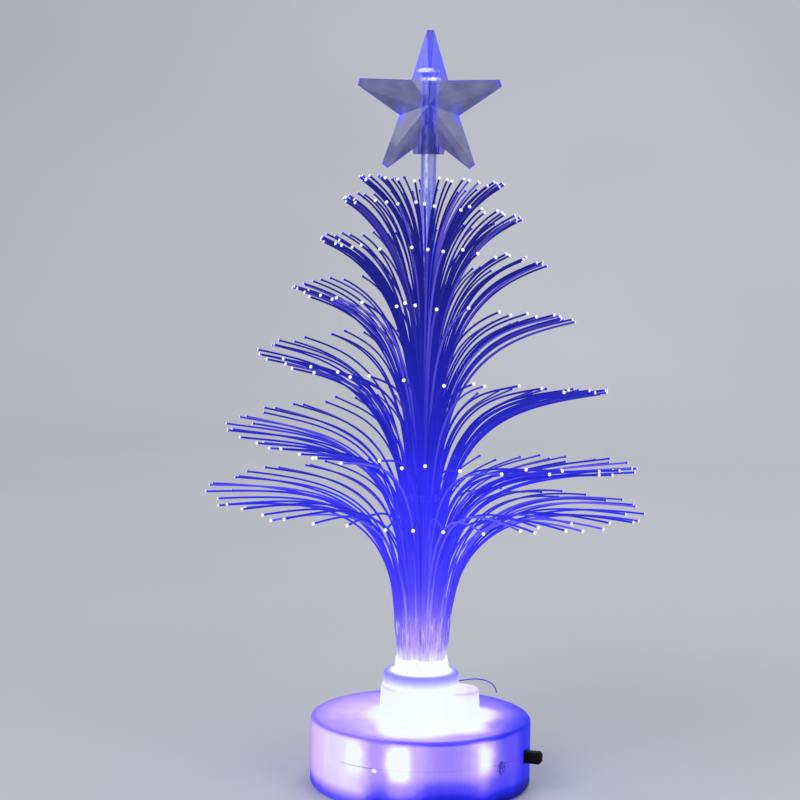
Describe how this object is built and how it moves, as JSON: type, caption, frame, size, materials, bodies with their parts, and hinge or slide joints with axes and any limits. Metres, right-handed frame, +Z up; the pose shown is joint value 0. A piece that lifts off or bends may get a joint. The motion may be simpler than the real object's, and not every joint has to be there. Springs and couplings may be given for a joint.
{
  "type": "fiber optic christmas tree",
  "caption": "Table-top tree of light: bent light fibres glued in a ferrule on a round battery base with a slide switch, and a faceted star on a clear central rod.",
  "frame": {"origin": "centre of the base's flat underside", "axes": "+Z up along the rod; the front, with the star's face, looks along -Y; the switch is on the +X side"},
  "size_m": [0.0983, 0.0985, 0.171],
  "materials": {
    "shell_plastic": "milky white moulded plastic that glows lavender from the lamp inside",
    "collar_plastic": "milky moulded plastic, brightly lit from inside",
    "hot_glue": "clear hardened glue flooded with light",
    "fibre_plastic": "clear plastic light guides, blue along their sides and bright at the cut tips",
    "clear_plastic": "clear cast plastic, polished facets",
    "knob_plastic": "black moulded plastic",
    "tinned_metal": "tinned strip",
    "screw_steel": "zinc-plated steel",
    "cell_steel": "nickel-plated steel",
    "board_laminate": "brown paper laminate",
    "lamp_epoxy": "clear epoxy",
    "resistor_body": "lacquered, plain",
    "red_wire": "thin insulation",
    "white_wire": "thin insulation",
    "black_wire": "thin insulation"
  },
  "bodies": {
    "base": {"upper_shell": "shell_plastic", "lower_shell": "shell_plastic", "shell_screws": "screw_steel", "circuit_board": "board_laminate", "led_lens": "lamp_epoxy", "led_leads": "tinned_metal", "led_resistor": "resistor_body", "contact_plate": "tinned_metal", "contact_spring": "tinned_metal", "switch_frame": "tinned_metal", "switch_base": "board_laminate", "switch_pins": "tinned_metal", "ferrule_collar": "collar_plastic", "glue_plug": "hot_glue", "light_rod": "clear_plastic", "star": "clear_plastic", "bundle_tie": "clear_plastic", "stray_fibre": "fibre_plastic", "wire_plus": "red_wire", "wire_switch": "white_wire", "wire_minus": "black_wire", "button_cell_1": "cell_steel", "button_cell_2": "cell_steel", "button_cell_3": "cell_steel", "fibre_tier_1": "fibre_plastic", "fibre_tier_2": "fibre_plastic", "fibre_tier_3": "fibre_plastic", "fibre_tier_4": "fibre_plastic", "fibre_tier_5": "fibre_plastic", "fibre_tier_6": "fibre_plastic", "fibre_tier_7": "fibre_plastic"},
    "battery_door": {"battery_door": "shell_plastic"},
    "door_screw": {"door_screw": "screw_steel"},
    "switch_knob": {"switch_knob": "knob_plastic"}
  },
  "joints": [
    {"name": "switch_slide", "type": "slide", "parent": "base", "child": "switch_knob", "axis": [0.2924, 0.9563, 0], "range_m": [0, 0.002]},
    {"name": "battery_door_lift", "type": "slide", "parent": "base", "child": "battery_door", "axis": [0, 0, -1], "range_m": [0, 0.006]},
    {"name": "door_screw_turn", "type": "hinge", "parent": "battery_door", "child": "door_screw", "pos_m": [-0.0142, -0.0115, 0.0003], "axis": [0, 0, 1], "continuous": true}
  ]
}
